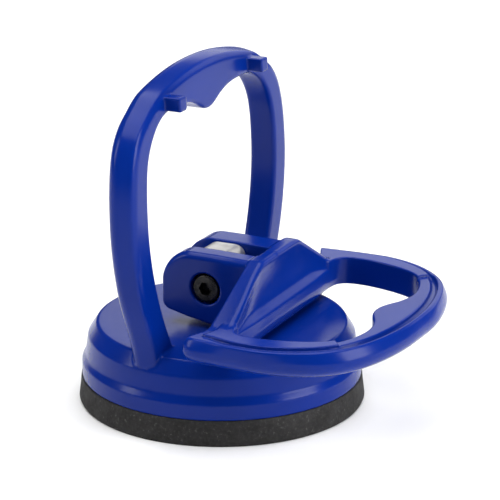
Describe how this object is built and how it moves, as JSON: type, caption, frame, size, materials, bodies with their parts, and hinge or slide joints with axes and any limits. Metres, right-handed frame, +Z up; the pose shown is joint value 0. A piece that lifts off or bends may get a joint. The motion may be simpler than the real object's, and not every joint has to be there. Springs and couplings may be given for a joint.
{
  "type": "suction lifter",
  "caption": "Hand-held vacuum lifter with a round rubber cup, a moulded housing with an upright ring handle, and a cam lever whose ring handle closes against it.",
  "frame": {"origin": "on the cup's axis, in the plane of its sealing lip, which is the surface the lifter stands on", "axes": "+Z up along the cup's axis, +X the way the lying lever points, Y along the pivot screw"},
  "size_m": [0.0712, 0.0672, 0.0678],
  "materials": {
    "moulding": "semi-gloss royal blue injection moulding",
    "rubber": "matt black moulded rubber with a fine speckle",
    "plated_steel": "bright zinc plate",
    "zinc": "tumbled zinc casting",
    "black_steel": "black oxide, slightly oily"
  },
  "bodies": {
    "housing": {"base_housing": "moulding", "suction_cup": "rubber"},
    "stud": {"lift_stud": "zinc", "stud_nut": "plated_steel", "cup_backing_plate": "plated_steel"},
    "lever": {"cam_lever_handle": "moulding", "pivot_screw": "black_steel", "pivot_nut": "plated_steel"}
  },
  "joints": [
    {"name": "stud_lift", "type": "slide", "parent": "housing", "child": "stud", "axis": [0, 0, 1], "range_m": [0, 0.003], "deforming": ["suction_cup"]},
    {"name": "lever_turn", "type": "hinge", "parent": "stud", "child": "lever", "pos_m": [0, 0, 0.0238], "axis": [0, -1, 0], "range_deg": [0, 90]}
  ],
  "couplings": [
    {"joint": "stud_lift", "follows": "lever_turn", "m_per_rad": 0.0019099}
  ]
}
